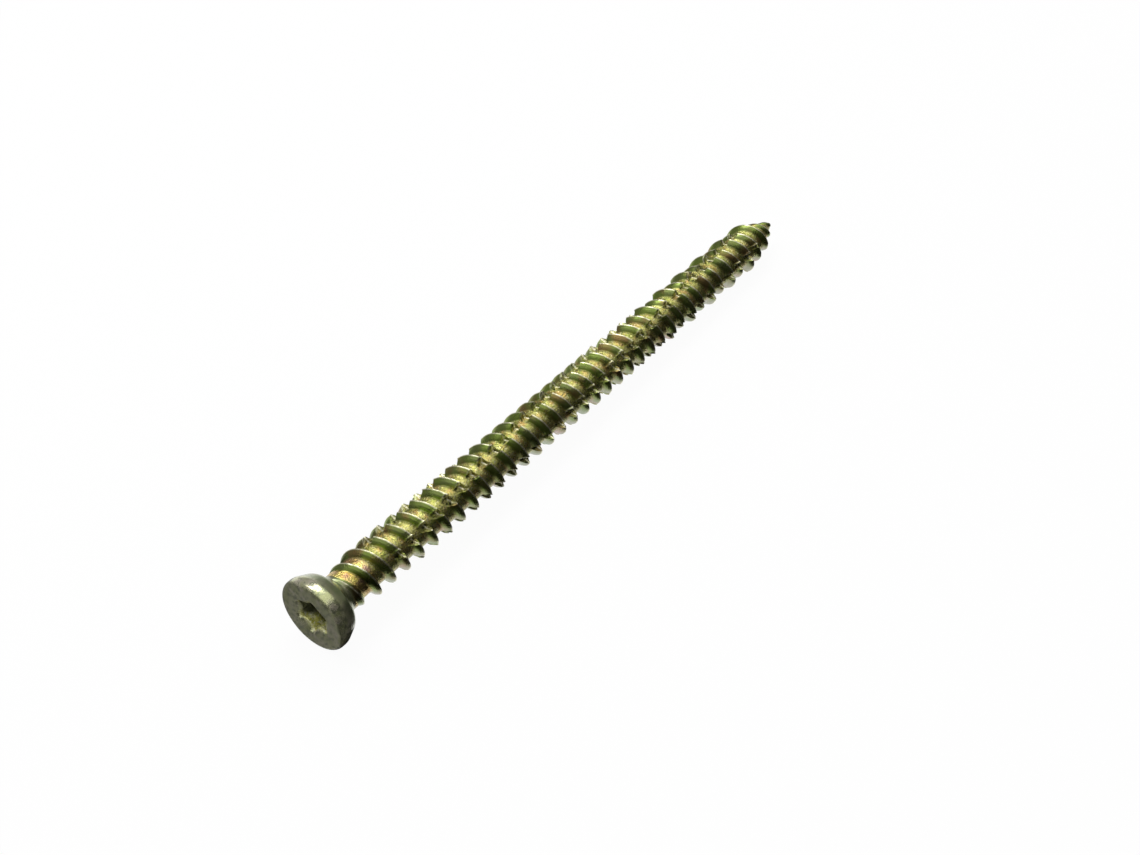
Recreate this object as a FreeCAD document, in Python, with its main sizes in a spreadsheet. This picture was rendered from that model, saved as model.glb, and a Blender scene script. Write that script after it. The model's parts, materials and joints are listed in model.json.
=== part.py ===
import FreeCAD, Part
import math
import os
import Sketcher

# Window frame screw: one cold-formed steel piece, with a low cylinder head that is
# domed underneath, a six-lobe recess, and a long shank with a two-start right-hand
# thread, notched across its crests. Millimetres and degrees. It is drawn with its
# axis on X, the flat face of the head at x = 0 and the point at +X, and then laid
# on its side as it would come to rest.

SIZES = {
    # head
    "overall_length": 112.0,
    "head_diameter": 11.0,
    "face_edge_radius": 0.7,
    "rim_height": 1.5,
    "rim_edge_radius": 1.5,
    "dome_height": 3.55,
    "dome_set_back": 0.9,
    "dome_edge_radius": 1.6,
    "head_height": 4.6,
    "neck_diameter": 5.7,
    "neck_fillet_radius": 1.0,
    "neck_length": 1.9,
    "neck_taper_length": 0.8,
    "neck_sink": 0.1,
    # six-lobe recess
    "lobe_diameter": 5.6,
    "waist_diameter": 3.95,
    "lobe_radius": 0.46,
    "lobe_angle": 34.4,
    "recess_depth": 3.0,
    "recess_floor_depth": 0.9,
    "recess_floor_diameter": 3.8,
    "lead_in_diameter": 6.3,
    "lead_in_depth": 0.55,
    "lead_in_end_diameter": 3.7,
    # thread
    "thread_diameter": 7.5,
    "core_diameter": 5.1,
    "thread_starts": 2,
    "thread_lead": 5.76,
    "first_crest": 7.03,
    "first_crest_angle": 214.4,
    "tooth_root_to_head": 1.05,
    "tooth_root_to_point": 0.66,
    "tooth_shoulder_to_head": 0.48,
    "tooth_shoulder_to_point": 0.22,
    "tooth_shoulder_drop": 0.3,
    "run_out_start": 5.2,
    "run_out_length": 3.3,
    "cutting_part_from": 73.5,
    "cutting_part_blend": 5.0,
    "main_crest_drop": 0.09,
    "low_crest_drop": 0.4,
    # point
    "point_length": 7.6,
    "point_diameter": 0.7,
    "point_tooth_height": 0.4,
    "point_roundness": 1.5,
    # notches across the crests, by their angle along the ridge
    "notch_depth": 0.7,
    "notch_pitch": 87.25,
    "notch_first": 42.25,
    "notch_lag": 5.5,
    "notched_from": 12.0,
    "notched_to": 104.0,
    # how finely the thread is laid up, and how deep it starts in the neck
    "planes_per_turn": 24,
    "shank_overlap": 0.3,
}

doc = FreeCAD.newDocument("window_frame_screw")
sheet = doc.addObject("Spreadsheet::Sheet", "sizes")
for row, (name, value) in enumerate(SIZES.items(), start=1):
    sheet.set("A%d" % row, name)
    sheet.set("B%d" % row, str(value))
    sheet.setAlias("B%d" % row, name)
doc.recompute()


def size(name):
    return float(getattr(sheet, name))


def total(terms):
    """A coordinate, as {name of a size: how many times it counts}."""
    return sum(times * size(name) for name, times in terms.items())


def formula(terms):
    return " + ".join("%g * sizes.%s" % (times, name) for name, times in terms.items())


def origin_feature(body, role):
    return next(f for f in body.Origin.OriginFeatures if f.Role == role)


# head and neck

def outline_sketch(body, name, corners):
    """A closed outline of straight lines, each corner tied to the sheet."""
    sketch = body.newObject("Sketcher::SketchObject", name)
    sketch.AttachmentSupport = [(origin_feature(body, "XY_Plane"), "")]
    sketch.MapMode = "FlatFace"
    places = [FreeCAD.Vector(total(x), total(y), 0) for x, y in corners]
    for begin, end in zip(places, places[1:] + places[:1]):
        sketch.addGeometry(Part.LineSegment(begin, end))
    for i in range(len(corners)):
        sketch.addConstraint(Sketcher.Constraint("Coincident", i - 1 if i else len(corners) - 1, 2, i, 1))
    for i, corner in enumerate(corners):
        for axis, terms, kind in ((-2, corner[0], "DistanceX"), (-1, corner[1], "DistanceY")):
            if not terms:
                sketch.addConstraint(Sketcher.Constraint("PointOnObject", i, 1, axis))
                continue
            label = "%s%d" % (kind, i)
            at = sketch.addConstraint(Sketcher.Constraint(kind, -1, 1, i, 1, total(terms)))
            sketch.renameConstraint(at, label)
            sketch.setExpression("Constraints." + label, formula(terms))
    return sketch


def turned(body, kind, name, corners):
    feature = body.newObject("PartDesign::" + kind, name)
    feature.Profile = outline_sketch(body, name + "_outline", corners)
    feature.ReferenceAxis = (origin_feature(body, "X_Axis"), [""])
    feature.Angle = 360
    doc.recompute()
    return feature


def rounded(body, name, base, x, out, radius):
    """A fillet on the one circular edge of base at this x and this distance from the axis."""
    def is_it(edge):
        curve = edge.Curve
        return (
            isinstance(curve, Part.Circle)
            and abs(curve.Center.x - x) < 1e-4
            and abs(curve.Radius - out) < 1e-4
        )
    edges = ["Edge%d" % i for i, e in enumerate(base.Shape.Edges, start=1) if is_it(e)]
    feature = body.newObject("PartDesign::Fillet", name)
    feature.Base = (base, edges)
    feature.Radius = size(radius)
    feature.setExpression("Radius", "sizes." + radius)
    doc.recompute()
    return feature


def make_head():
    body = doc.addObject("PartDesign::Body", "head_body")
    head = {"head_diameter": 0.5}
    dome = {"head_diameter": 0.5, "dome_set_back": -1}
    neck = {"neck_diameter": 0.5}
    neck_end = {"head_height": 1, "neck_length": 1}
    taper_end = {"head_height": 1, "neck_length": 1, "neck_taper_length": 1}
    blank = turned(body, "Revolution", "blank", [
        ({}, {}),
        ({}, head),
        ({"rim_height": 1}, head),
        ({"dome_height": 1}, dome),
        ({"head_height": 1}, neck),
        (neck_end, neck),
        (taper_end, {"core_diameter": 0.5, "neck_sink": -1}),
        (taper_end, {}),
    ])
    edges = (
        ("neck_fillet", {"head_height": 1}, neck, "neck_fillet_radius"),
        ("dome_edge", {"dome_height": 1}, dome, "dome_edge_radius"),
        ("rim_edge", {"rim_height": 1}, head, "rim_edge_radius"),
        ("face_edge", {}, head, "face_edge_radius"),
    )
    last = blank
    for name, x, out, radius in edges:
        last = rounded(body, name, last, total(x), total(out), radius)
    cut_recess(body)
    return body


# six-lobe recess

def six_lobes():
    """The recess's outline: six small lobes joined by six hollow arcs that they touch."""
    lobe_r = size("lobe_radius")
    lobe_at = size("lobe_diameter") / 2 - lobe_r
    waist = size("waist_diameter") / 2
    half = math.radians(30)
    hollow_r = (
        (lobe_at ** 2 + waist ** 2 - 2 * lobe_at * waist * math.cos(half) - lobe_r ** 2)
        / (2 * (lobe_at * math.cos(half) + lobe_r - waist))
    )
    hollow_at = waist + hollow_r

    def point(radius, angle):
        return FreeCAD.Vector(radius * math.cos(angle), radius * math.sin(angle), 0)

    def touch(lobe_angle, hollow_angle):
        lobe = point(lobe_at, lobe_angle)
        return lobe + (point(hollow_at, hollow_angle) - lobe) * (lobe_r / (lobe_r + hollow_r))

    arcs = []
    for i in range(6):
        lobe = math.radians(size("lobe_angle")) + 2 * half * i
        before, after = touch(lobe, lobe - half), touch(lobe, lobe + half)
        arcs.append(Part.Arc(before, point(lobe_at + lobe_r, lobe), after))
        arcs.append(Part.Arc(after, point(waist, lobe + half), touch(lobe + 2 * half, lobe + half)))
    return arcs


def cut_recess(body):
    sketch = body.newObject("Sketcher::SketchObject", "recess_outline")
    sketch.AttachmentSupport = [(origin_feature(body, "YZ_Plane"), "")]
    sketch.MapMode = "FlatFace"
    for arc in six_lobes():
        sketch.addGeometry(arc)
    recess = body.newObject("PartDesign::Pocket", "recess")
    recess.Profile = sketch
    recess.Reversed = True
    recess.Length = size("recess_depth")
    recess.setExpression("Length", "sizes.recess_depth")
    doc.recompute()
    depth = {"recess_depth": 1}
    turned(body, "Groove", "recess_floor", [
        (depth, {}),
        (depth, {"recess_floor_diameter": 0.5}),
        ({"recess_depth": 1, "recess_floor_depth": 1}, {}),
    ])
    lead_in = {"lead_in_depth": 1}
    turned(body, "Groove", "recess_lead_in", [
        ({}, {}),
        ({}, {"lead_in_diameter": 0.5}),
        (lead_in, {"lead_in_end_diameter": 0.5}),
        (lead_in, {}),
    ])


# threaded shank: the surface is laid up as flat panels between axial outlines, one
# outline in each of the planes through the axis that share out a turn

STARTS = int(size("thread_starts"))
PLANES = int(size("planes_per_turn"))
SHANK_FROM = size("head_height") - size("shank_overlap")
SHANK_TO = size("overall_length")
FULL_HEIGHT = (size("thread_diameter") - size("core_diameter")) / 2
SAME_POINT = 1e-6


def core_radius(x):
    core = size("core_diameter") / 2
    into_point = (x - SHANK_TO) / size("point_length") + 1
    if into_point <= 0:
        return core
    end = size("point_diameter") / 2
    return end + (core - end) * (1 - min(1.0, into_point) ** size("point_roundness"))


def crest_height(start, x):
    """How far a ridge stands out of the core: it rises out of the neck, one start stands
    high and the other low in the cutting part, and both sink in the point."""
    rising = min(1.0, max(0.0, (x - size("run_out_start")) / size("run_out_length")))
    cutting = min(1.0, max(0.0, (x - size("cutting_part_from")) / size("cutting_part_blend")))
    height = (FULL_HEIGHT - size("main_crest_drop") * (1 - cutting)) * rising
    if start == 0:
        height -= size("low_crest_drop") * cutting
    into_point = min(1.0, max(0.0, (x - SHANK_TO) / size("point_length") + 1))
    return height + (min(height, size("point_tooth_height")) - height) * into_point


def notched_steps(start):
    """The steps along one ridge at which a notch crosses its crest."""
    angle = size("notch_first") - size("notch_lag") * start + size("first_crest_angle")
    last_angle = 360 * SHANK_TO / size("thread_lead")
    steps = set()
    while angle < last_angle:
        steps.add(round(angle * PLANES / 360))
        angle += size("notch_pitch")
    return steps


NOTCHED = [notched_steps(start) for start in range(STARTS)]


def tooth(start, step):
    """One ridge's outline where it crosses an axial plane: places along X, radii."""
    turns = step / PLANES - size("first_crest_angle") / 360 + start / STARTS
    crest = size("first_crest") + turns * size("thread_lead")
    height = crest_height(start, crest)
    top = height
    if step in NOTCHED[start] and size("notched_from") < crest < size("notched_to"):
        top = height - size("notch_depth")
    shoulder = min(top, height * (1 - size("tooth_shoulder_drop") / FULL_HEIGHT))
    profile = (
        (-size("tooth_root_to_head"), 0.0),
        (-size("tooth_shoulder_to_head"), shoulder),
        (0.0, top),
        (size("tooth_shoulder_to_point"), shoulder),
        (size("tooth_root_to_point"), 0.0),
    )
    for along, rise in profile:
        x = crest + along
        if x <= SHANK_FROM or x >= SHANK_TO:
            x = min(max(x, SHANK_FROM), SHANK_TO)
            rise = 0.0
        yield x, core_radius(x) + rise


def axial_outline(plane):
    """The shank's outline in one axial plane, from the neck to the point."""
    angle = 2 * math.pi * plane / PLANES
    turns_after = int(SHANK_TO / size("thread_lead")) + 2
    outline = []
    for turn in range(-1, turns_after):
        for start in range(STARTS):
            for x, r in tooth(start, plane + turn * PLANES):
                outline.append(FreeCAD.Vector(x, r * math.cos(angle), r * math.sin(angle)))
    return outline


def flat_panels(corners):
    """One flat face for corners that lie in a plane, or else two; none where they meet."""
    apart = []
    for corner in corners:
        if all(corner.distanceToPoint(other) > SAME_POINT for other in apart):
            apart.append(corner)
    if len(apart) < 3:
        return []
    if len(apart) == 4:
        normal = (apart[1] - apart[0]).cross(apart[2] - apart[0]).normalize()
        if abs(normal.dot(apart[3] - apart[0])) > SAME_POINT:
            return flat_panels(apart[:3]) + flat_panels([apart[0], apart[2], apart[3]])
    return [Part.Face(Part.makePolygon(apart + apart[:1]))]


def shank_end(x):
    """The flat polygon that closes the shank at one end."""
    r = core_radius(x)
    corners = []
    for plane in range(PLANES):
        angle = 2 * math.pi * plane / PLANES
        corners.append(FreeCAD.Vector(x, r * math.cos(angle), r * math.sin(angle)))
    return Part.Face(Part.makePolygon(corners + corners[:1]))


def make_threaded_shank():
    outlines = [axial_outline(plane) for plane in range(PLANES + 1)]
    panels = [shank_end(SHANK_FROM), shank_end(SHANK_TO)]
    for one, other in zip(outlines, outlines[1:]):
        for i in range(len(one) - 1):
            panels += flat_panels([one[i], one[i + 1], other[i + 1], other[i]])
    shell = Part.Shell(panels)
    shell.sewShape()
    solid = Part.Solid(shell)
    if solid.Volume < 0:
        solid.reverse()
    shank = doc.addObject("Part::Feature", "threaded_shank")
    shank.Shape = solid
    return shank


# how the screw lies: on the rim of its head and on the last full crest underneath

UNDERSIDE = 270.0


def last_crest_underneath():
    turn = (UNDERSIDE - size("first_crest_angle")) / 360 + (STARTS - 1) / STARTS
    crest = size("first_crest") + turn * size("thread_lead")
    point_from = SHANK_TO - size("point_length")
    return crest + int((point_from - crest) / size("thread_lead")) * size("thread_lead")


def lying():
    rim_x, rim_r = size("rim_height"), size("head_diameter") / 2
    crest_x, crest_r = last_crest_underneath(), size("thread_diameter") / 2
    tilt = math.atan((rim_r - crest_r) / (crest_x - rim_x))
    lift = rim_x * math.sin(tilt) + rim_r * math.cos(tilt)
    edge_r = size("face_edge_radius")
    front = (rim_r - edge_r) * math.sin(tilt) + edge_r * (1 - math.cos(tilt))
    back = SHANK_TO * math.cos(tilt) + size("point_diameter") / 2 * math.sin(tilt)
    turn = FreeCAD.Rotation(FreeCAD.Vector(0, 1, 0), math.degrees(tilt))
    return FreeCAD.Placement(FreeCAD.Vector((front - back) / 2, 0, lift), turn)


head = make_head()
shank = make_threaded_shank()
head.Placement = lying()
shank.Placement = lying()
screw = doc.addObject("Part::Fuse", "screw")
screw.Base = head
screw.Tool = shank
screw.Refine = False
screw.Label = "screw"
doc.recompute()

for thing in doc.Objects:
    if "Invalid" in thing.State or "Error" in thing.State:
        raise RuntimeError("%s failed: %s" % (thing.Name, thing.State))

solids = screw.Shape.Solids
if screw.Shape.isNull() or not screw.Shape.isValid() or len(solids) != 1:
    raise RuntimeError("the screw is not one valid solid")
if not head.Shape.Volume + shank.Shape.Volume > screw.Shape.Volume > shank.Shape.Volume:
    raise RuntimeError("the head and the shank do not join")

os.makedirs("parts", exist_ok=True)
screw.Shape.exportStep("parts/%s.step" % screw.Label)
box = screw.Shape.BoundBox
print("screw", round(screw.Shape.Volume, 2), "mm3", len(screw.Shape.Faces), "faces")
print("box", [round(v, 3) for v in (box.XMin, box.YMin, box.ZMin, box.XMax, box.YMax, box.ZMax)])
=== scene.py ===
import json
import math

import bpy
import numpy as np
from mathutils import Matrix, Vector, noise


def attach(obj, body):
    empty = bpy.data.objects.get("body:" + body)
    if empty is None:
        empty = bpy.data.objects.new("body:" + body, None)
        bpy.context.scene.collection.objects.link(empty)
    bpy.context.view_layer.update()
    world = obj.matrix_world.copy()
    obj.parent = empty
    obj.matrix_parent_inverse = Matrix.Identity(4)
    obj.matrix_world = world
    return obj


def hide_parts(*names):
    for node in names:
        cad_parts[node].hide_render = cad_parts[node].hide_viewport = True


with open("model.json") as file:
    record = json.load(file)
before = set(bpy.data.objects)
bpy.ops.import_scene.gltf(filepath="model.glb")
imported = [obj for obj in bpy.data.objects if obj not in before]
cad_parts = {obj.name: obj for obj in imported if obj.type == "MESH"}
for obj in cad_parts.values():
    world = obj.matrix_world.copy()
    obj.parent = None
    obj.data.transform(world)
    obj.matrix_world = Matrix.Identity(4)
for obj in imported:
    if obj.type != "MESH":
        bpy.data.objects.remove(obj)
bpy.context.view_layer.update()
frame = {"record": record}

mm = 0.001

# the screw's own axes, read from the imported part: its recess mount sits at the middle of the head's face
mounts = {mount["name"]: mount for mount in frame["record"]["mounts"]}
headFace = Vector(mounts["drive_recess"]["pos_m"])
along = -Vector(mounts["drive_recess"]["axis"]).normalized()
across = Vector((0.0, 1.0, 0.0))
upward = along.cross(across).normalized()
screwAxes = np.array([list(along), list(across), list(upward)])
print("frame loaded, tilt of the screw", round(math.degrees(math.asin(along.z)), 2))

# sizes in millimetres and degrees, counted from the head's face, as in the solid, but the notches are longer
# and lie further up, and the first thread starts earlier, as the photograph shows
screw = {
    "planes": 130,                # steps in a turn
    "length": 112.0,
    "threadRadius": 3.75,
    "coreRadius": 2.55,
    "coreFrom": 7.3,
    "neckRadius": 2.85,
    "neckEnd": 6.5,
    "shankFrom": 4.4,             # the laid-up shank begins inside the head's fillet
    "lead": 5.76,
    "starts": 2,
    "spareTurns": 3,              # laid up past the two ends and folded away there
    "firstCrest": 7.03,
    "firstCrestAngle": 214.4,
    "runOutStart": 5.2,
    "runOutLength": 3.3,
    "firstRidgeFrom": 4.4,        # the first thread starts with a low ridge on the neck
    "firstRidgeLength": 0.5,
    "firstRidgeShare": 0.42,
    "cuttingFrom": 73.5,          # from here one start stands high and the other low
    "cuttingBlend": 5.0,
    "mainDrop": 0.09,
    "lowDrop": 0.4,
    "pointLength": 7.6,
    "pointRadius": 0.35,
    "pointTooth": 0.4,
    "pointRoundness": 1.5,
    "pointRings": (1.0, 0.866, 0.5),        # rings of its flat end, as shares of its radius
    "tooth": [                    # distance from the crest and share of the height, long flank to the head
        (-1.12, 0.0), (-0.98, 0.07), (-0.82, 0.27), (-0.66, 0.5), (-0.5, 0.68), (-0.34, 0.8), (-0.2, 0.905),
        (-0.1, 0.965), (-0.03, 1.0), (0.03, 1.0), (0.09, 0.95), (0.17, 0.82), (0.27, 0.62), (0.38, 0.4),
        (0.52, 0.14), (0.7, 0.0),
    ],
    "footFade": 3.0,              # hollows and burrs fade out over the lowest third of a tooth
    "paintedFrom": 0.36,          # a ridge this high, as a share of a whole tooth, is coloured like one
    "nickDepth": 0.07,            # small dents in the crest
    "nickFewer": 0.1,
    "nickNoise": (1.7, 5.0, 2.1),           # along the screw, from start to start, and round it
    "smoothBelow": 62.0,          # faces that meet at less are shaded as one
    "weld": 0.00001,              # points nearer than this become one
    "notch": {
        "depth": 0.95,
        "footDepth": 0.25,        # share of the depth at the tooth's foot
        "halfWidth": 0.74,        # along the crest
        "widthVaries": 0.3,
        "shift": -0.22,           # along the crest, against the turn
        "middle": -0.34,          # across the tooth from its crest, towards the head
        "halfReach": 0.76,        # across the tooth
        "wall": 2.6,              # steepness of its sides
        "brim": 0.25,             # how deep it is already at its outline
        "pitch": 87.25,           # from one notch to the next on the same thread
        "first": 42.25,
        "lag": 5.5,               # how far the other start's notches lie behind
        "fromX": 12.0,
        "toX": 104.0,
        "leastTooth": 0.1,        # lower teeth have no notches
        "noise": (3.7, 11.3, 0.5),          # from notch to notch, from start to start, and a fixed place
        "lip": 0.16,              # height of the raised burr at its edge
        "lipOut": 0.4,            # where the burr is highest, outside the outline
        "lipWidth": 0.48,
        "lipShare": 0.8,
        "lipVaries": 0.9,
        "lipBehind": 0.12,        # what is left of the burr on the other side
    },
    "head": {
        "outline": [              # corners along the axis and out from it, with their rounding
            (0.0, 5.5, 0.7), (1.5, 5.5, 1.5), (3.55, 4.6, 1.6), (4.6, 2.85, 1.0),
        ],
        "end": (5.2, 2.85),
        "tuck": (5.35, 2.8),      # its last ring lies just under the neck's surface
        "roundingSteps": 7,
        "faceRings": (3.5, 4.0, 4.5),
    },
    "recess": {
        "lobes": 6,
        "turn": 34.4,             # where the first lobe points
        "lobeReach": 2.8,         # from the axis to the outside of a lobe
        "lobeRadius": 0.46,
        "waist": 1.975,           # from the axis to the wall between lobes
        "floor": 3.0,
        "floorTip": 3.9,
        "floorRings": (0.02, 0.3, 0.6, 0.8),    # shares of the way from the tip to the wall
        "corner": 0.05,           # between floor and wall
        "cornerSink": 0.02,
        "wallSteps": 9,
        "wallUneven": 0.02,
        "wallNoise": (2.0, 9.0),  # down the wall and round it
        "leadIn": 3.15,
        "leadInDepth": 0.6,
        "leadInLeast": 0.12,
        "leadInSteps": 6,
        "leadInBow": (1.5, 1.3),
        "fadeSteps": 3,           # its finish fades out over so many rings above the wall
        "paintedShadeFrom": -0.37,        # painted shade: the wall is dark above this share of the height, and lower down deeper in
        "duskPerMm": -0.35,
        "paintedShadeSoft": 0.3,
    },
}
toothHeight = screw["threadRadius"] - screw["coreRadius"]


def zeroToOne(value):
    return min(1.0, max(0.0, value))


def pointShare(x):
    # 0 before the point and 1 at its tip
    return zeroToOne((x - screw["length"]) / screw["pointLength"] + 1)


def coreAt(x):
    # the shank's core, which narrows in the point
    full = 1 - pointShare(x) ** screw["pointRoundness"]
    return screw["pointRadius"] + (screw["coreRadius"] - screw["pointRadius"]) * full


def bodyRadius(x):
    # the shank without its thread: neck, taper, core and point
    s = screw
    taper = zeroToOne((s["coreFrom"] - x) / (s["coreFrom"] - s["neckEnd"]))
    return coreAt(x) + (s["neckRadius"] - s["coreRadius"]) * taper


def crestHeight(start, x):
    # how high a crest stands over the core: start 0 begins with the ridge, and is the low one later
    s = screw
    rising = zeroToOne((x - s["runOutStart"]) / s["runOutLength"])
    if start == 0:
        ridge = zeroToOne((x - s["firstRidgeFrom"]) / s["firstRidgeLength"])
        rising = max(rising, s["firstRidgeShare"] * ridge)
    cutting = zeroToOne((x - s["cuttingFrom"]) / s["cuttingBlend"])
    height = toothHeight * rising - s["mainDrop"] * (1 - cutting) * rising
    if start == 0:
        height -= s["lowDrop"] * cutting
    return height + (min(height, s["pointTooth"]) - height) * pointShare(x)


def nickAt(start, x, psi):
    # a small dent in the crest, as a height below 0
    a, b, c = screw["nickNoise"]
    uneven = noise.noise(Vector((x * a, start * b, psi * c)))
    return screw["nickDepth"] * min(0.0, uneven + screw["nickFewer"])


def nearestNotch(start, angle, x):
    # distance along the crest to the nearest notch, in half widths, and a number that is the notch's own
    n = screw["notch"]
    if not n["fromX"] < x < n["toX"]:
        return math.inf, 0.0
    first = n["first"] - n["lag"] * start + screw["firstCrestAngle"]
    away = (angle - first + n["pitch"] / 2) % n["pitch"] - n["pitch"] / 2
    index = round((angle - first - away) / n["pitch"])
    a, b, c = n["noise"]
    own = noise.noise(Vector((index * a, start * b, c)))
    offset = math.radians(away) * screw["threadRadius"] - n["shift"]
    return offset / (n["halfWidth"] * (1 + n["widthVaries"] * own)), own


def notchShape(t, d, share, own):
    # how much is hollowed out here and how much burr stands here, both from 0 to 1
    n = screw["notch"]
    sideways = (d - n["middle"]) / n["halfReach"]
    inside = 1 - t * t - sideways * sideways
    hollow = zeroToOne(inside * n["wall"] + n["brim"])
    lip = (1.0 if t < 0 else n["lipBehind"]) * math.exp(-((inside + n["lipOut"]) / n["lipWidth"]) ** 2)
    lip = lip * (n["lipShare"] + n["lipVaries"] * own) * min(1.0, share * screw["footFade"])
    return hollow, max(0.0, lip)


def buildShank():
    # grid of the laid-up shank in the screw's own axes, with how high, hollowed and burred each point is
    s, n = screw, screw["notch"]
    planes, starts, profile = s["planes"], s["starts"], len(s["tooth"])
    ridges = (int(s["length"] / s["lead"]) + s["spareTurns"]) * starts
    shape = (planes, ridges + starts, profile)
    verts = np.zeros(shape + (3,))
    rise, hollowed, burred = np.zeros(shape), np.zeros(shape), np.zeros(shape)
    for m in range(ridges + starts):
        start = m % starts
        turn = m // starts - 1
        for p in range(planes):
            angle = 360.0 * (p + planes * turn) / planes
            psi = math.radians(angle)
            crest = s["firstCrest"] + s["lead"] * ((angle - s["firstCrestAngle"]) / 360.0 + start / starts)
            height = crestHeight(start, crest)
            t, own = nearestNotch(start, angle, crest)
            nick = nickAt(start, crest, psi)
            painted = min(1.0, height / (s["paintedFrom"] * toothHeight)) if height > 0 else 0.0
            for j, (d, share) in enumerate(s["tooth"]):
                x = crest + d
                lift = height * share
                hollow, lip = notchShape(t, d, share, own) if height > n["leastTooth"] else (0.0, 0.0)
                lift -= min(lift, n["depth"] * hollow * (n["footDepth"] + (1 - n["footDepth"]) * share))
                lift += n["lip"] * lip + nick * share * share
                lift = max(0.0, min(lift, toothHeight))
                if x <= s["shankFrom"] or x >= s["length"]:
                    x = min(max(x, s["shankFrom"]), s["length"])
                    lift = 0.0
                r = max(bodyRadius(x), coreAt(x) + lift)
                verts[p, m, j] = (x, r * math.cos(psi), r * math.sin(psi))
                rise[p, m, j] = share * painted
                hollowed[p, m, j] = hollow * min(1.0, share * s["footFade"])
                burred[p, m, j] = lip

    def at(p, m, j):
        # a point's number: past a tooth's last one comes the next tooth, past the last plane the next turn
        if j == profile:
            m, j = m + 1, 0
        if p == planes:
            p, m = 0, m + starts
        return (p * (ridges + starts) + m) * profile + j if m < ridges + starts else None

    quads = []
    for p in range(planes):
        for m in range(ridges):
            for j in range(profile):
                corners = (at(p, m, j), at(p, m, j + 1), at(p + 1, m, j + 1), at(p + 1, m, j))
                if None not in corners:
                    quads.append(corners)
    return verts.reshape(-1, 3), quads, [rise.ravel(), hollowed.ravel(), burred.ravel()]


shankVerts, shankQuads, shankMasks = buildShank()
print("shank laid up:", len(shankVerts), "points")


def roundedOutline(corners, first, last, steps):
    # points along a line of corners, each corner rounded by an arc
    line = [first] + [(x, r) for x, r, _ in corners] + [last]
    points = []
    for i, (x, r, radius) in enumerate(corners, start=1):
        here = Vector((x, r))
        before = (Vector(line[i - 1]) - here).normalized()
        after = (Vector(line[i + 1]) - here).normalized()
        half = before.angle(after) / 2
        reach = radius / math.tan(half)
        middle = here + (before + after).normalized() * (radius / math.sin(half))
        begin = here + before * reach - middle
        turn = begin.angle_signed(here + after * reach - middle)
        for k in range(steps + 1):
            arm = begin.copy()
            arm.rotate(Matrix.Rotation(-turn * k / steps, 2))
            points.append(tuple(middle + arm))
    return points


def recessRadius(angle):
    # the recess outline, as radius by angle: small lobes joined by hollow arcs
    lobe, waist = screw["recess"]["lobeRadius"], screw["recess"]["waist"]
    lobeAt = screw["recess"]["lobeReach"] - lobe
    half = math.radians(180 / screw["recess"]["lobes"])
    hollow = ((lobeAt ** 2 + waist ** 2 - 2 * lobeAt * waist * math.cos(half) - lobe ** 2)
              / (2 * (lobeAt * math.cos(half) + lobe - waist)))
    hollowAt = waist + hollow
    lobeMiddle = Vector((lobeAt, 0.0))
    hollowMiddle = Vector((hollowAt * math.cos(half), hollowAt * math.sin(half)))
    touch = lobeMiddle + (hollowMiddle - lobeMiddle) * (lobe / (lobe + hollow))
    a = abs((angle + half) % (2 * half) - half)
    if a < math.atan2(touch.y, touch.x):
        return lobeAt * math.cos(a) + math.sqrt(lobe ** 2 - (lobeAt * math.sin(a)) ** 2)
    b = half - a
    return hollowAt * math.cos(b) - math.sqrt(hollow ** 2 - (hollowAt * math.sin(b)) ** 2)


def ringFaces(count):
    # four-sided faces from each ring to the next
    planes = screw["planes"]
    faces = []
    for i in range(count - 1):
        for p in range(planes):
            q = (p + 1) % planes
            faces.append((i * planes + p, i * planes + q, (i + 1) * planes + q, (i + 1) * planes + p))
    return faces


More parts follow.
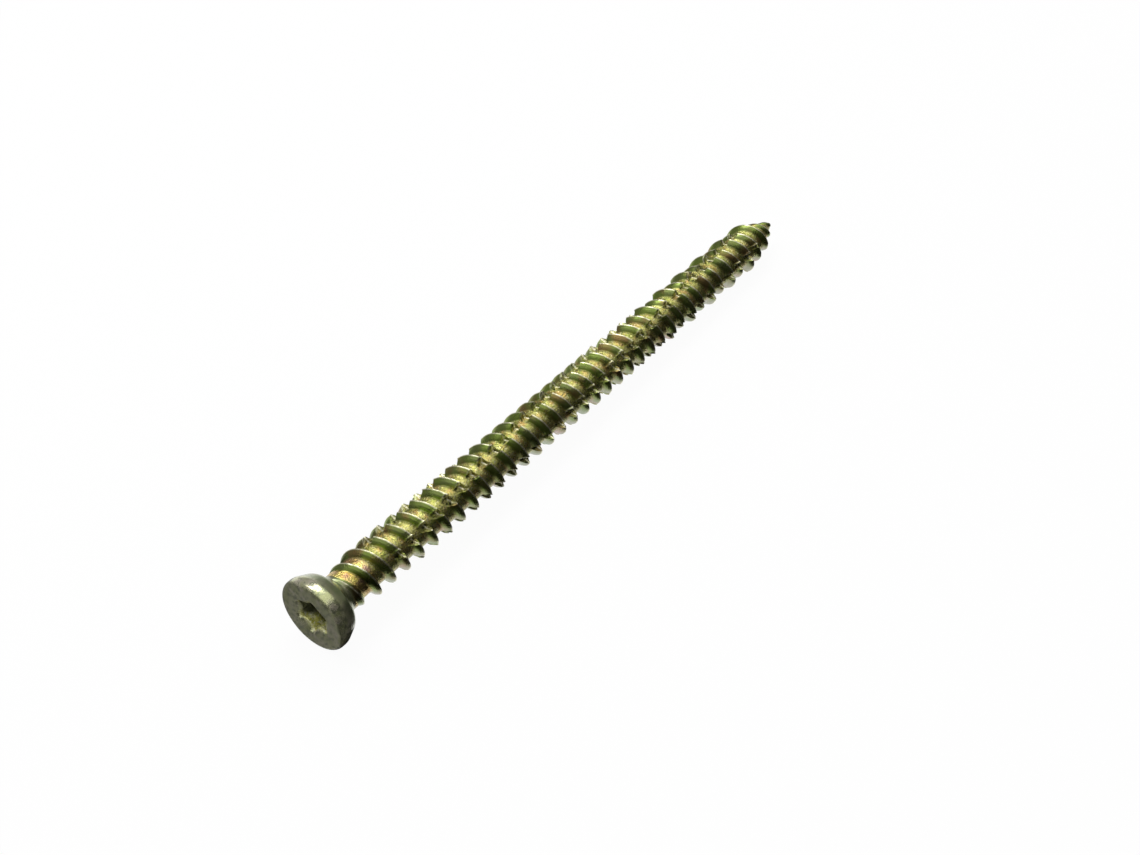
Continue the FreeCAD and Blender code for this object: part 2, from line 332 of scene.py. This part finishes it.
def buildHead():
    # rings from the recess's floor, up its wall, over the face and the rim to the neck, with two masks: the
    # recess's inside, and the painted shade in it
    planes, head, recess = screw["planes"], screw["head"], screw["recess"]
    angles = [2 * math.pi * p / planes for p in range(planes)]
    lobes = [recessRadius(a - math.radians(recess["turn"])) for a in angles]
    floor, tip, top = recess["floor"], recess["floorTip"], recess["leadInDepth"]
    rings = []
    for share in recess["floorRings"]:
        rings.append([(tip - (tip - floor) * share, share * lobe) for lobe in lobes])
    rings.append([(floor + recess["cornerSink"], lobe - recess["corner"]) for lobe in lobes])
    foot = floor - recess["corner"]
    down, around = recess["wallNoise"]
    for k in range(recess["wallSteps"]):
        x = foot - (foot - top) * k / (recess["wallSteps"] - 1)
        uneven = [recess["wallUneven"] * noise.noise(Vector((x * down, a * around, 0))) for a in angles]
        rings.append([(x, lobe + more) for lobe, more in zip(lobes, uneven)])
    wallTop = len(rings)
    edges = [max(recess["leadIn"], lobe + recess["leadInLeast"]) for lobe in lobes]
    for k in range(1, recess["leadInSteps"] + 1):
        t = k / recess["leadInSteps"]
        x = top * (1 - t) ** recess["leadInBow"][0]
        out = t ** recess["leadInBow"][1]
        rings.append([(x, lobe + (edge - lobe) * out) for lobe, edge in zip(lobes, edges)])
    for r in head["faceRings"]:
        rings.append([(0.0, r)] * planes)
    outline = roundedOutline(head["outline"], (0.0, 0.0), head["end"], head["roundingSteps"])
    for x, r in outline + [head["tuck"]]:
        rings.append([(x, r)] * planes)
    verts, isInside, isRecessPaintedShade = [], [], []
    for i, ring in enumerate(rings):
        for (x, r), a in zip(ring, angles):
            verts.append((x, r * math.cos(a), r * math.sin(a)))
            isInside.append(zeroToOne(1 - (i - wallTop + 1) / recess["fadeSteps"]))
            # painted shade: 1 on the upper part of the recess wall, reaching lower the deeper in, and over
            # its floor
            edge = recess["paintedShadeFrom"] + recess["duskPerMm"] * (x - top)
            isRecessPaintedShade.append(zeroToOne(0.5 + (math.sin(a) - edge) / recess["paintedShadeSoft"]))
    faces = ringFaces(len(rings))
    faces += [(len(verts), (p + 1) % planes, p) for p in range(planes)]
    verts.append((tip, 0.0, 0.0))
    isInside.append(1.0)
    isRecessPaintedShade.append(1.0)
    return np.array(verts), faces, [np.array(isInside), np.array(isRecessPaintedShade)]


def buildPointEnd():
    # the small flat end of the point
    planes, x = screw["planes"], screw["length"]
    verts = []
    for share in screw["pointRings"]:
        r = screw["pointRadius"] * share
        for p in range(planes):
            a = 2 * math.pi * p / planes
            verts.append((x, r * math.cos(a), r * math.sin(a)))
    last = len(verts) - planes
    faces = ringFaces(len(screw["pointRings"]))
    faces += [(last + p, last + (p + 1) % planes, len(verts)) for p in range(planes)]
    verts.append((x, 0.0, 0.0))
    return np.array(verts), faces


def weld(verts, faces, values):
    # merges points that coincide and drops faces that fold away
    keys = np.round(verts / screw["weld"]).astype(np.int64)
    _, keep, inverse = np.unique(keys, axis=0, return_index=True, return_inverse=True)
    inverse = inverse.ravel()
    out = []
    for face in faces:
        ring = []
        for v in face:
            w = int(inverse[v])
            if w not in ring:
                ring.append(w)
        if len(ring) > 2:
            out.append(ring)
    return verts[keep], out, [value[keep] for value in values]


# masks that the plating reads; the fifth is painted shade in the recess
maskNames = ("rise", "hollow", "burr", "inside", "dusk", "alongX")


def joinScrew():
    # head, shank and point end as one mesh, with the masks that the plating uses
    headVerts, headFaces, headMasks = buildHead()
    endVerts, endFaces = buildPointEnd()
    verts = np.vstack([headVerts, shankVerts, endVerts])
    faces = list(headFaces)
    faces += [tuple(v + len(headVerts) for v in f) for f in shankQuads]
    faces += [tuple(v + len(headVerts) + len(shankVerts) for v in f) for f in endFaces]
    noHead, noShank, noEnd = (np.zeros(len(part)) for part in (headVerts, shankVerts, endVerts))
    masks = [np.concatenate([noHead, mask, noEnd]) for mask in shankMasks]
    masks += [np.concatenate([mask, noShank, noEnd]) for mask in headMasks]
    verts, faces, masks = weld(verts, faces, masks)
    mesh = bpy.data.meshes.new("screwBody")
    mesh.from_pydata(((verts @ screwAxes) * mm + np.array(headFace)).tolist(), [], faces)
    mesh.validate()
    for name, values in zip(maskNames, masks + [verts[:, 0]]):
        layer = mesh.attributes.new(name, "FLOAT", "POINT")
        layer.data.foreach_set("value", values.astype(np.float32))
    mesh.update()
    piece = bpy.data.objects.new("screwBody", mesh)
    bpy.context.scene.collection.objects.link(piece)
    return piece


screwPiece = joinScrew()
bpy.context.view_layer.objects.active = screwPiece
screwPiece.select_set(True)
bpy.ops.object.mode_set(mode="EDIT")
bpy.ops.mesh.select_all(action="SELECT")
bpy.ops.mesh.normals_make_consistent(inside=False)
bpy.ops.object.mode_set(mode="OBJECT")
bpy.ops.object.shade_auto_smooth(angle=math.radians(screw["smoothBelow"]))
print("screw joined:", len(screwPiece.data.polygons), "faces")


def feed(tree, socket, value):
    # links another socket to this one, or sets its own value
    if isinstance(value, bpy.types.NodeSocket):
        tree.links.new(value, socket)
    elif socket.type == "RGBA":
        socket.default_value = (*value, 1.0)
    else:
        socket.default_value = value


def node(tree, kind, inputs=None):
    # a new node, its inputs given by name, or by number where several have one name
    made = tree.nodes.new(kind)
    for key, value in (inputs or {}).items():
        feed(tree, made.inputs[key], value)
    return made


def maths(tree, operation, a, b):
    made = node(tree, "ShaderNodeMath", {0: a, 1: b})
    made.operation = operation
    return made.outputs[0]


def spread(tree, value, low, high):
    # 0 at low and 1 at high, smooth between them
    made = node(tree, "ShaderNodeMapRange", {"Value": value, "From Min": low, "From Max": high})
    made.interpolation_type = "SMOOTHSTEP"
    return made.outputs["Result"]


def between(tree, mask, a, b):
    # the value a where the mask is 0 and b where it is 1
    return node(tree, "ShaderNodeMapRange", {"Value": mask, "To Min": a, "To Max": b}).outputs["Result"]


def blend(tree, mask, a, b):
    # the colour a where the mask is 0 and b where it is 1
    made = tree.nodes.new("ShaderNodeMix")
    made.data_type = "RGBA"
    for index, value in ((0, mask), (6, a), (7, b)):
        feed(tree, made.inputs[index], value)
    return made.outputs[2]


def placed(tree, group, inputs):
    # a group placed in a tree with its own values
    made = tree.nodes.new("ShaderNodeGroup")
    made.node_tree = group
    for key, value in inputs.items():
        feed(tree, made.inputs[key], value)
    return made.outputs[0]


def layOut(tree, width=220, height=200):
    # puts the nodes in columns, each one to the left of all that it feeds
    column = {made.name: 0 for made in tree.nodes}
    for _ in tree.nodes:
        for link in tree.links:
            column[link.from_node.name] = max(column[link.from_node.name], column[link.to_node.name] + 1)
    filled = {}
    for made in tree.nodes:
        c = column[made.name]
        made.location = (-width * c, -height * filled.get(c, 0))
        filled[c] = filled.get(c, 0) + 1


# tints, masks and strengths of the plating
zinc = {
    "films": {                    # patches in a metre, the main tint, and two more that lie in patches on it
        "flank": (330.0, (0.22, 0.29, 0.06), (0.20, 0.24, 0.075), (0.27, 0.19, 0.07)),
        "valley": (726.0, (0.55, 0.52, 0.17), (0.43, 0.46, 0.11), (0.54, 0.38, 0.13)),
        "firstValley": (495.0, (0.84, 0.70, 0.22), (0.74, 0.46, 0.14), (0.50, 0.30, 0.24)),
        # painted reflection: a paler, pinker tint where the surface faces down, for the white paper below it
        "paintedUnderReflection": (297.0, (0.42, 0.42, 0.33), (0.33, 0.40, 0.24), (0.50, 0.34, 0.29)),
        "head": (627.0, (0.61, 0.61, 0.34), (0.49, 0.52, 0.22), (0.73, 0.67, 0.48)),
        # darker, greener tint under the head and on the neck: partly the plating's tone, partly painted
        # shade
        "neckTintAndPaintedShade": (528.0, (0.26, 0.28, 0.12), (0.19, 0.24, 0.06), (0.28, 0.24, 0.12)),
        "recess": (1650.0, (0.86, 0.84, 0.22), (0.46, 0.46, 0.06), (1.0, 0.97, 0.6)),
    },
    "filmPatches": ((0.44, 0.6, 0.31), (0.5, 0.66, 0.77)),      # noise from, to and shift, for the two tints
    "crest": (0.82, 0.79, 0.56),
    "fleck": (0.90, 0.86, 0.55),
    # dark colour for random specks of dirt in the grooves, and for painted shade in the notches and the
    # recess
    "dirtAndPaintedShade": (0.05, 0.055, 0.02),
    "headMottle": (0.20, 0.23, 0.10),
    "recessShade": (0.30, 0.30, 0.05),
    # painted glints: near-white flecks in the recess
    "recessPaintedGlint": (1.0, 1.0, 0.8),
    "patches": {                  # how many in a metre, then noise from, to and shift
        "speck": (4200.0, 0.5, 0.62, 0.0),
        "fleck": (3600.0, 0.55, 0.66, 0.2),
        "chips": (1500.0, 0.5, 0.6, 0.4),
        "clouds": (700.0, 0.35, 0.7, 0.9),
    },
    "patchDetail": 3.0,
    "masks": {                    # where each one is 0 and where it is 1
        "valley": (0.38, 0.05),   # share of the tooth's height
        "crest": (0.9, 0.985),
        "burr": (0.3, 0.65),
        "paintedUnderReflection": (-0.1, -0.6),    # how much the surface faces up; surfaces facing down get a painted reflection of the paper
        "head": (5.6, 5.1),       # mm along the axis, like the next two
        "neckTintAndPaintedShade": (1.3, 2.7),
        "early": (10.6, 8.8),
    },
    "strengths": {
        "burrWear": 0.42,
        "crestChips": 0.5,
        "valleySpeck": 0.55,
        "valleyFleck": 0.5,
        "notchPaintedShade": 0.3,         # painted shade in the notches, at least this; more where there are chips
        "headMottle": 0.75,
        "headFleck": 0.35,
        "recessShade": 0.7,
        # strength of the painted glints in the recess
        "recessPaintedGlint": 0.8,
        # strength of the painted shade in the recess
        "dusk": 0.95,
        "headMatt": 0.02,         # added to the roughness
        "cloudMatt": 0.1,
        "earlyPolish": 0.1,       # taken from it
        "valleyGrain": 0.65,
    },
    "metallic": {"thread": 0.965, "early": 1.0, "head": 0.9, "recess": 0.05},
    "roughness": 0.25,
    "coatRoughness": 0.32,        # the head's clear top layer
    "coatIor": 1.8,
    "grainScale": 3600.0,
    "grainDetail": 4.0,
    "grainRoughness": 0.6,
    "grainHeight": 0.00018,       # metres
    "grain": {"least": 0.2, "head": 0.16, "recess": 1.0},      # shares of that height
}


def newGroup(name, inputs, output, kind):
    # an empty group, what it is given, and the socket that it puts out
    group = bpy.data.node_groups.new(name, "ShaderNodeTree")
    for label, value in inputs.items():
        isColour = isinstance(value, tuple)
        socketType = "NodeSocketColor" if isColour else "NodeSocketFloat"
        socket = group.interface.new_socket(label, in_out="INPUT", socket_type=socketType)
        socket.default_value = (*value, 1.0) if isColour else value
    group.interface.new_socket(output, in_out="OUTPUT", socket_type=kind)
    return group, node(group, "NodeGroupInput").outputs, node(group, "NodeGroupOutput").inputs[0]


def patchesGroup():
    # soft patches: a mask that is 1 inside them
    inputs = {"Scale": 300.0, "From": 0.5, "To": 0.6, "Shift": 0.0}
    group, given, result = newGroup("patches", inputs, "Mask", "NodeSocketFloat")
    place = node(group, "ShaderNodeTexCoord").outputs["Object"]
    shift = node(group, "ShaderNodeCombineXYZ", {"X": given["Shift"], "Y": given["Shift"]})
    moved = node(group, "ShaderNodeVectorMath", {0: place, 1: shift.outputs[0]})
    cloud = node(group, "ShaderNodeTexNoise",
                 {"Vector": moved.outputs[0], "Scale": given["Scale"], "Detail": zinc["patchDetail"]})
    mask = node(group, "ShaderNodeMapRange",
                {"Value": cloud.outputs["Fac"], "From Min": given["From"], "From Max": given["To"]})
    group.links.new(mask.outputs["Result"], result)
    layOut(group)
    return group


def filmGroup(patches):
    # the plating's film: one colour with patches of two others in it
    grey = (0.5, 0.5, 0.5)
    inputs = {"Scale": 300.0, "Main": grey, "Second": grey, "Third": grey}
    group, given, result = newGroup("film", inputs, "Color", "NodeSocketColor")
    colour = given["Main"]
    for name, (low, high, shift) in zip(("Second", "Third"), zinc["filmPatches"]):
        mask = placed(group, patches, {"Scale": given["Scale"], "From": low, "To": high, "Shift": shift})
        colour = blend(group, mask, colour, given[name])
    group.links.new(colour, result)
    layOut(group)
    return group


def grainGroup():
    # heights of a fine grain
    group, given, result = newGroup("grain", {"Scale": 3000.0}, "Height", "NodeSocketFloat")
    place = node(group, "ShaderNodeTexCoord").outputs["Object"]
    grain = node(group, "ShaderNodeTexNoise",
                 {"Vector": place, "Scale": given["Scale"], "Detail": zinc["grainDetail"],
                  "Roughness": zinc["grainRoughness"]})
    group.links.new(grain.outputs["Fac"], result)
    layOut(group)
    return group


def zincMaterial():
    mat = bpy.data.materials.new("yellowZinc")
    mat.use_nodes = True
    nt = mat.node_tree
    bsdf = nt.nodes["Principled BSDF"]
    patches, grain = patchesGroup(), grainGroup()
    film = filmGroup(patches)
    given = {}
    for name in maskNames:
        attribute = node(nt, "ShaderNodeAttribute")
        attribute.attribute_name = name
        given[name] = attribute.outputs["Fac"]

    def filmOf(name):
        scale, main, second, third = zinc["films"][name]
        return placed(nt, film, {"Scale": scale, "Main": main, "Second": second, "Third": third})

    def patchesOf(name):
        scale, low, high, shift = zinc["patches"][name]
        return placed(nt, patches, {"Scale": scale, "From": low, "To": high, "Shift": shift})

    def maskOf(name, value):
        return spread(nt, value, *zinc["masks"][name])

    def some(name, mask):
        return maths(nt, "MULTIPLY", mask, zinc["strengths"][name])

    def either(a, b):
        return maths(nt, "MAXIMUM", a, b)

    def both(a, b):
        return maths(nt, "MULTIPLY", a, b)

    normal = node(nt, "ShaderNodeNewGeometry").outputs["Normal"]
    facing = node(nt, "ShaderNodeSeparateXYZ", {0: normal}).outputs["Z"]
    valleyMask = maskOf("valley", given["rise"])
    edgeMask = either(maskOf("crest", given["rise"]), some("burrWear", maskOf("burr", given["burr"])))
    headMask = maskOf("head", given["alongX"])
    early = maskOf("early", given["alongX"])      # the first grooves behind the head
    speck, fleck, chips = patchesOf("speck"), patchesOf("fleck"), patchesOf("chips")

    # the thread: bright grainy grooves, darker flanks, a paler underside that is painted reflection, painted
    # shade in the notches, worn edges
    colour = blend(nt, some("valleySpeck", speck), filmOf("valley"), zinc["dirtAndPaintedShade"])
    colour = blend(nt, some("valleyFleck", fleck), colour, zinc["fleck"])
    colour = blend(nt, early, colour, filmOf("firstValley"))
    colour = blend(nt, either(valleyMask, given["hollow"]), filmOf("flank"), colour)
    # painted reflection: surfaces facing down take a paler tint, as if mirroring the paper
    colour = blend(nt, maskOf("paintedUnderReflection", facing), colour, filmOf("paintedUnderReflection"))
    # painted shade in the notch hollows, patchier where chips lie
    notchShade = both(given["hollow"], either(chips, zinc["strengths"]["notchPaintedShade"]))
    colour = blend(nt, notchShade, colour, zinc["dirtAndPaintedShade"])
    whole = maths(nt, "SUBTRACT", 1.0, some("crestChips", chips))
    colour = blend(nt, both(edgeMask, whole), colour, zinc["crest"])

    # the head, mottled, and the darker neck and underside of the head: partly the plating's tone, partly
    # painted shade under the head
    headColour = blend(nt, some("headMottle", chips), filmOf("head"), zinc["headMottle"])
    headColour = blend(nt, some("headFleck", fleck), headColour, zinc["fleck"])
    headColour = blend(nt, maskOf("neckTintAndPaintedShade", given["alongX"]), headColour, filmOf("neckTintAndPaintedShade"))
    colour = blend(nt, headMask, colour, headColour)

    # the recess: near-white flecks are painted glints, and painted shade darkens its upper half, more of it
    # deeper in
    inner = blend(nt, some("recessShade", speck), filmOf("recess"), zinc["recessShade"])
    # painted glints: near-white flecks in the recess
    inner = blend(nt, some("recessPaintedGlint", fleck), inner, zinc["recessPaintedGlint"])
    colour = blend(nt, given["inside"], colour, inner)
    colour = blend(nt, some("dusk", both(given["inside"], given["dusk"])), colour, zinc["dirtAndPaintedShade"])
    feed(nt, bsdf.inputs["Base Color"], colour)

    metal = between(nt, early, zinc["metallic"]["thread"], zinc["metallic"]["early"])
    metal = between(nt, headMask, metal, zinc["metallic"]["head"])
    metal = between(nt, given["inside"], metal, zinc["metallic"]["recess"])
    feed(nt, bsdf.inputs["Metallic"], metal)
    feed(nt, bsdf.inputs["Coat Weight"], headMask)
    bsdf.inputs["Coat Roughness"].default_value = zinc["coatRoughness"]
    bsdf.inputs["Coat IOR"].default_value = zinc["coatIor"]

    # a little rougher on the head and in clouds, smoother in the first grooves
    rough = maths(nt, "ADD", some("headMatt", headMask), some("cloudMatt", patchesOf("clouds")))
    rough = maths(nt, "ADD", rough, zinc["roughness"])
    rough = maths(nt, "SUBTRACT", rough, some("earlyPolish", both(early, valleyMask)))
    feed(nt, bsdf.inputs["Roughness"], rough)

    # grain: deep in the recess and the notches, less in the grooves, faint elsewhere
    deep = either(some("valleyGrain", valleyMask), given["hollow"])
    deep = either(deep, zinc["grain"]["least"])
    deep = between(nt, headMask, deep, zinc["grain"]["head"])
    deep = between(nt, given["inside"], deep, zinc["grain"]["recess"])
    height = both(placed(nt, grain, {"Scale": zinc["grainScale"]}), deep)
    bump = node(nt, "ShaderNodeBump", {"Strength": 1.0, "Distance": zinc["grainHeight"], "Height": height})
    feed(nt, bsdf.inputs["Normal"], bump.outputs[0])
    layOut(nt)
    return mat


screwPiece.data.materials.append(zincMaterial())
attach(screwPiece, "root")
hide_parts("screw")
print("screw plated")

# white paper, lit from above, and cards round the screw that only the metal sees
studio = {
    "paperSize": 3.0,
    "paperColour": (0.92, 0.92, 0.92),
    "paperRoughness": 0.9,
    "white": 0.95,                # share of plain white in the paper as it is seen
    "room": 0.6,                  # light of the room
    "backdrop": 1.0,              # the room as it is seen
    "boxDirection": (0.12, 0.34, 0.93),
    "boxDistance": 0.5,
    "boxSize": (0.52, 0.17),
    "boxPower": 1.3,
    "cards": {                    # corners in mm, and how bright each one is
        "frontBase": ([(-75, -4.5, 0.2), (120, -4.5, 0.2), (600, -300, 0.2), (-300, -300, 0.2)], 0.015),
        "front": ([(-500, -300, 0), (700, -300, 0), (700, -300, 430), (-500, -300, 430)], 0.04),
        # a black sheet under the head that only the metal sees: a painted shadow, for the head's contact
        # shadow on the paper
        "paintedShadowUnderHead": ([(-56, -8, 0.3), (-50.5, -8, 0.3), (-50.5, 4, 0.3), (-56, 4, 0.3)], 0.0),
        "leftBase": ([(-56.1, -60, 0.1), (-56.1, 6, 0.1), (-46, 12, 0.1), (-46, 250, 0.1),
                      (-400, 250, 0.1), (-400, -290, 0.1)], 0.14),
        "left": ([(-400, -300, 0), (-400, 300, 0), (-400, 300, 230), (-400, -300, 230)], 0.12),
        "right": ([(600, -300, 0), (600, 300, 0), (600, 300, 420), (600, -300, 420)], 0.22),
        "back": ([(-500, 300, 0), (800, 300, 0), (800, 300, 560), (-500, 300, 560)], 0.3),
    },
}


def seenDirectly(tree):
    # 1 for what the eye, a mirror or glass sees, 0 for light that falls on things
    path = node(tree, "ShaderNodeLightPath").outputs
    mirrored = maths(tree, "MAXIMUM", path["Is Camera Ray"], path["Is Glossy Ray"])
    return maths(tree, "MAXIMUM", mirrored, path["Is Transmission Ray"])


def paperMaterial():
    mat = bpy.data.materials.new("whitePaper")
    mat.use_nodes = True
    tree = mat.node_tree
    paper = tree.nodes["Principled BSDF"]
    feed(tree, paper.inputs["Base Color"], studio["paperColour"])
    feed(tree, paper.inputs["Roughness"], studio["paperRoughness"])
    share = maths(tree, "MULTIPLY", seenDirectly(tree), studio["white"])
    glow = node(tree, "ShaderNodeEmission", {"Strength": 1.0})
    mixed = node(tree, "ShaderNodeMixShader", {0: share, 1: paper.outputs[0], 2: glow.outputs[0]})
    feed(tree, tree.nodes["Material Output"].inputs["Surface"], mixed.outputs[0])
    layOut(tree)
    return mat


bpy.ops.mesh.primitive_plane_add(size=studio["paperSize"], location=(0, 0, 0))
floor = bpy.context.object
floor.name = "paper"
floor.data.materials.append(paperMaterial())


def addCard(name, corners, shade):
    mesh = bpy.data.meshes.new(name)
    mesh.from_pydata([Vector(c) * mm for c in corners], [], [tuple(range(len(corners)))])
    card = bpy.data.objects.new(name, mesh)
    bpy.context.scene.collection.objects.link(card)
    mat = bpy.data.materials.new(name)
    mat.use_nodes = True
    tree = mat.node_tree
    shine = node(tree, "ShaderNodeEmission", {"Strength": shade})
    feed(tree, tree.nodes["Material Output"].inputs["Surface"], shine.outputs[0])
    card.data.materials.append(mat)
    card.visible_camera = False
    card.visible_diffuse = False
    card.visible_shadow = False
    card.visible_transmission = False


for cardName, (corners, shade) in studio["cards"].items():
    addCard(cardName, corners, shade)
print("paper and", len(studio["cards"]), "cards set")

# camera at the photograph's viewing angle, from the outline's perspective
cameraView = {
    "focalPixels": 1586.0,
    "frameWidth": 1140.0,
    "sensor": 36.0,
    "headFromCamera": (-33.40, -24.56, -204.5),   # mm: right, up, backwards
    "axisRight": 0.6013,          # how far the screw's axis goes right and up in the picture
    "axisUp": 0.5273,
    "clipStart": 0.01,
}


def aimCamera():
    c = cameraView
    right = Vector((c["axisRight"] / along.x, 0.0, 0.0))
    right.y = -math.sqrt(1 - right.x ** 2)
    level = Vector((-right.y, right.x, 0.0))
    # the elevation at which the axis goes up as far as it should
    reach = level.dot(along)
    elevation = math.asin(c["axisUp"] / math.hypot(reach, along.z)) - math.atan2(along.z, reach)
    up = level * math.sin(elevation) + Vector((0, 0, 1)) * math.cos(elevation)
    turn = Matrix((right, up, right.cross(up))).transposed()
    place = headFace - turn @ (Vector(c["headFromCamera"]) * mm)
    data = bpy.data.cameras.new("camera")
    data.sensor_width = c["sensor"]
    data.lens = c["focalPixels"] / c["frameWidth"] * c["sensor"]
    data.clip_start = c["clipStart"]
    camera = bpy.data.objects.new("camera", data)
    camera.matrix_world = Matrix.Translation(place) @ turn.to_4x4()
    bpy.context.scene.collection.objects.link(camera)
    bpy.context.scene.camera = camera
    print("camera elevation", round(math.degrees(elevation), 2))


aimCamera()


def lightRoom():
    world = bpy.data.worlds.new("studio")
    world.use_nodes = True
    tree = world.node_tree
    room = tree.nodes["Background"]
    feed(tree, room.inputs["Color"], (1, 1, 1))
    strength = between(tree, seenDirectly(tree), studio["room"], studio["backdrop"])
    feed(tree, room.inputs["Strength"], strength)
    layOut(tree)
    bpy.context.scene.world = world


def addSoftBox():
    data = bpy.data.lights.new("softBox", "AREA")
    data.shape = "RECTANGLE"
    data.size, data.size_y = studio["boxSize"]
    data.energy = studio["boxPower"]
    lamp = bpy.data.objects.new("softBox", data)
    lamp.location = Vector(studio["boxDirection"]).normalized() * studio["boxDistance"]
    lamp.rotation_euler = (-lamp.location).to_track_quat("-Z", "Y").to_euler()
    bpy.context.scene.collection.objects.link(lamp)


lightRoom()
addSoftBox()
print("room and soft box lit")

bpy.context.scene.view_settings.view_transform = "Standard"
